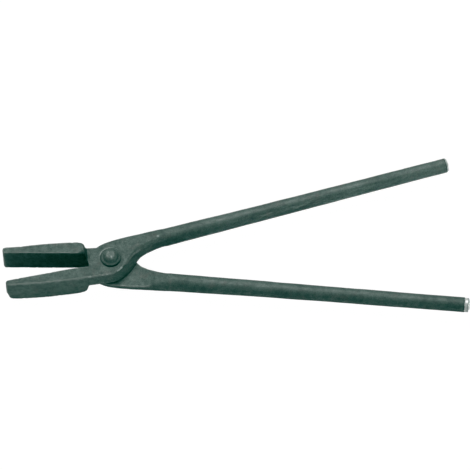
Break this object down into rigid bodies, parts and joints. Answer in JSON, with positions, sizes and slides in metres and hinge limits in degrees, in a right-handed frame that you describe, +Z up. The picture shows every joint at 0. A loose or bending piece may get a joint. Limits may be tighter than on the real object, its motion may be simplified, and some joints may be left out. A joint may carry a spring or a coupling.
{
  "type": "blacksmith tongs",
  "caption": "Lap-jointed forged blacksmith tongs with tall flat jaws and long round reins, turning on a round-head rivet.",
  "frame": {"origin": "centre of the small flat on the rivet's set tail, on the pivot axis; the whole part lies at z >= 0", "axes": "+X from the jaws to the reins along the long axis, +Z up along the rivet towards its round head, +Y completes the right-handed frame"},
  "size_m": [0.4005, 0.1572, 0.034],
  "materials": {
    "forged_steel": "dark forge scale, satin, lightly rubbed along the edges",
    "rivet_steel": "dark oxidised steel, slightly brighter on the crown"
  },
  "bodies": {
    "lower_leg": {"bottom_half": "forged_steel", "rivet": "rivet_steel"},
    "upper_leg": {"top_half": "forged_steel"}
  },
  "joints": [
    {"name": "rivet_pivot", "type": "hinge", "parent": "lower_leg", "child": "upper_leg", "pos_m": [0, 0, 0.0161], "axis": [0, 0, 1], "range_deg": [-17, 78]}
  ]
}
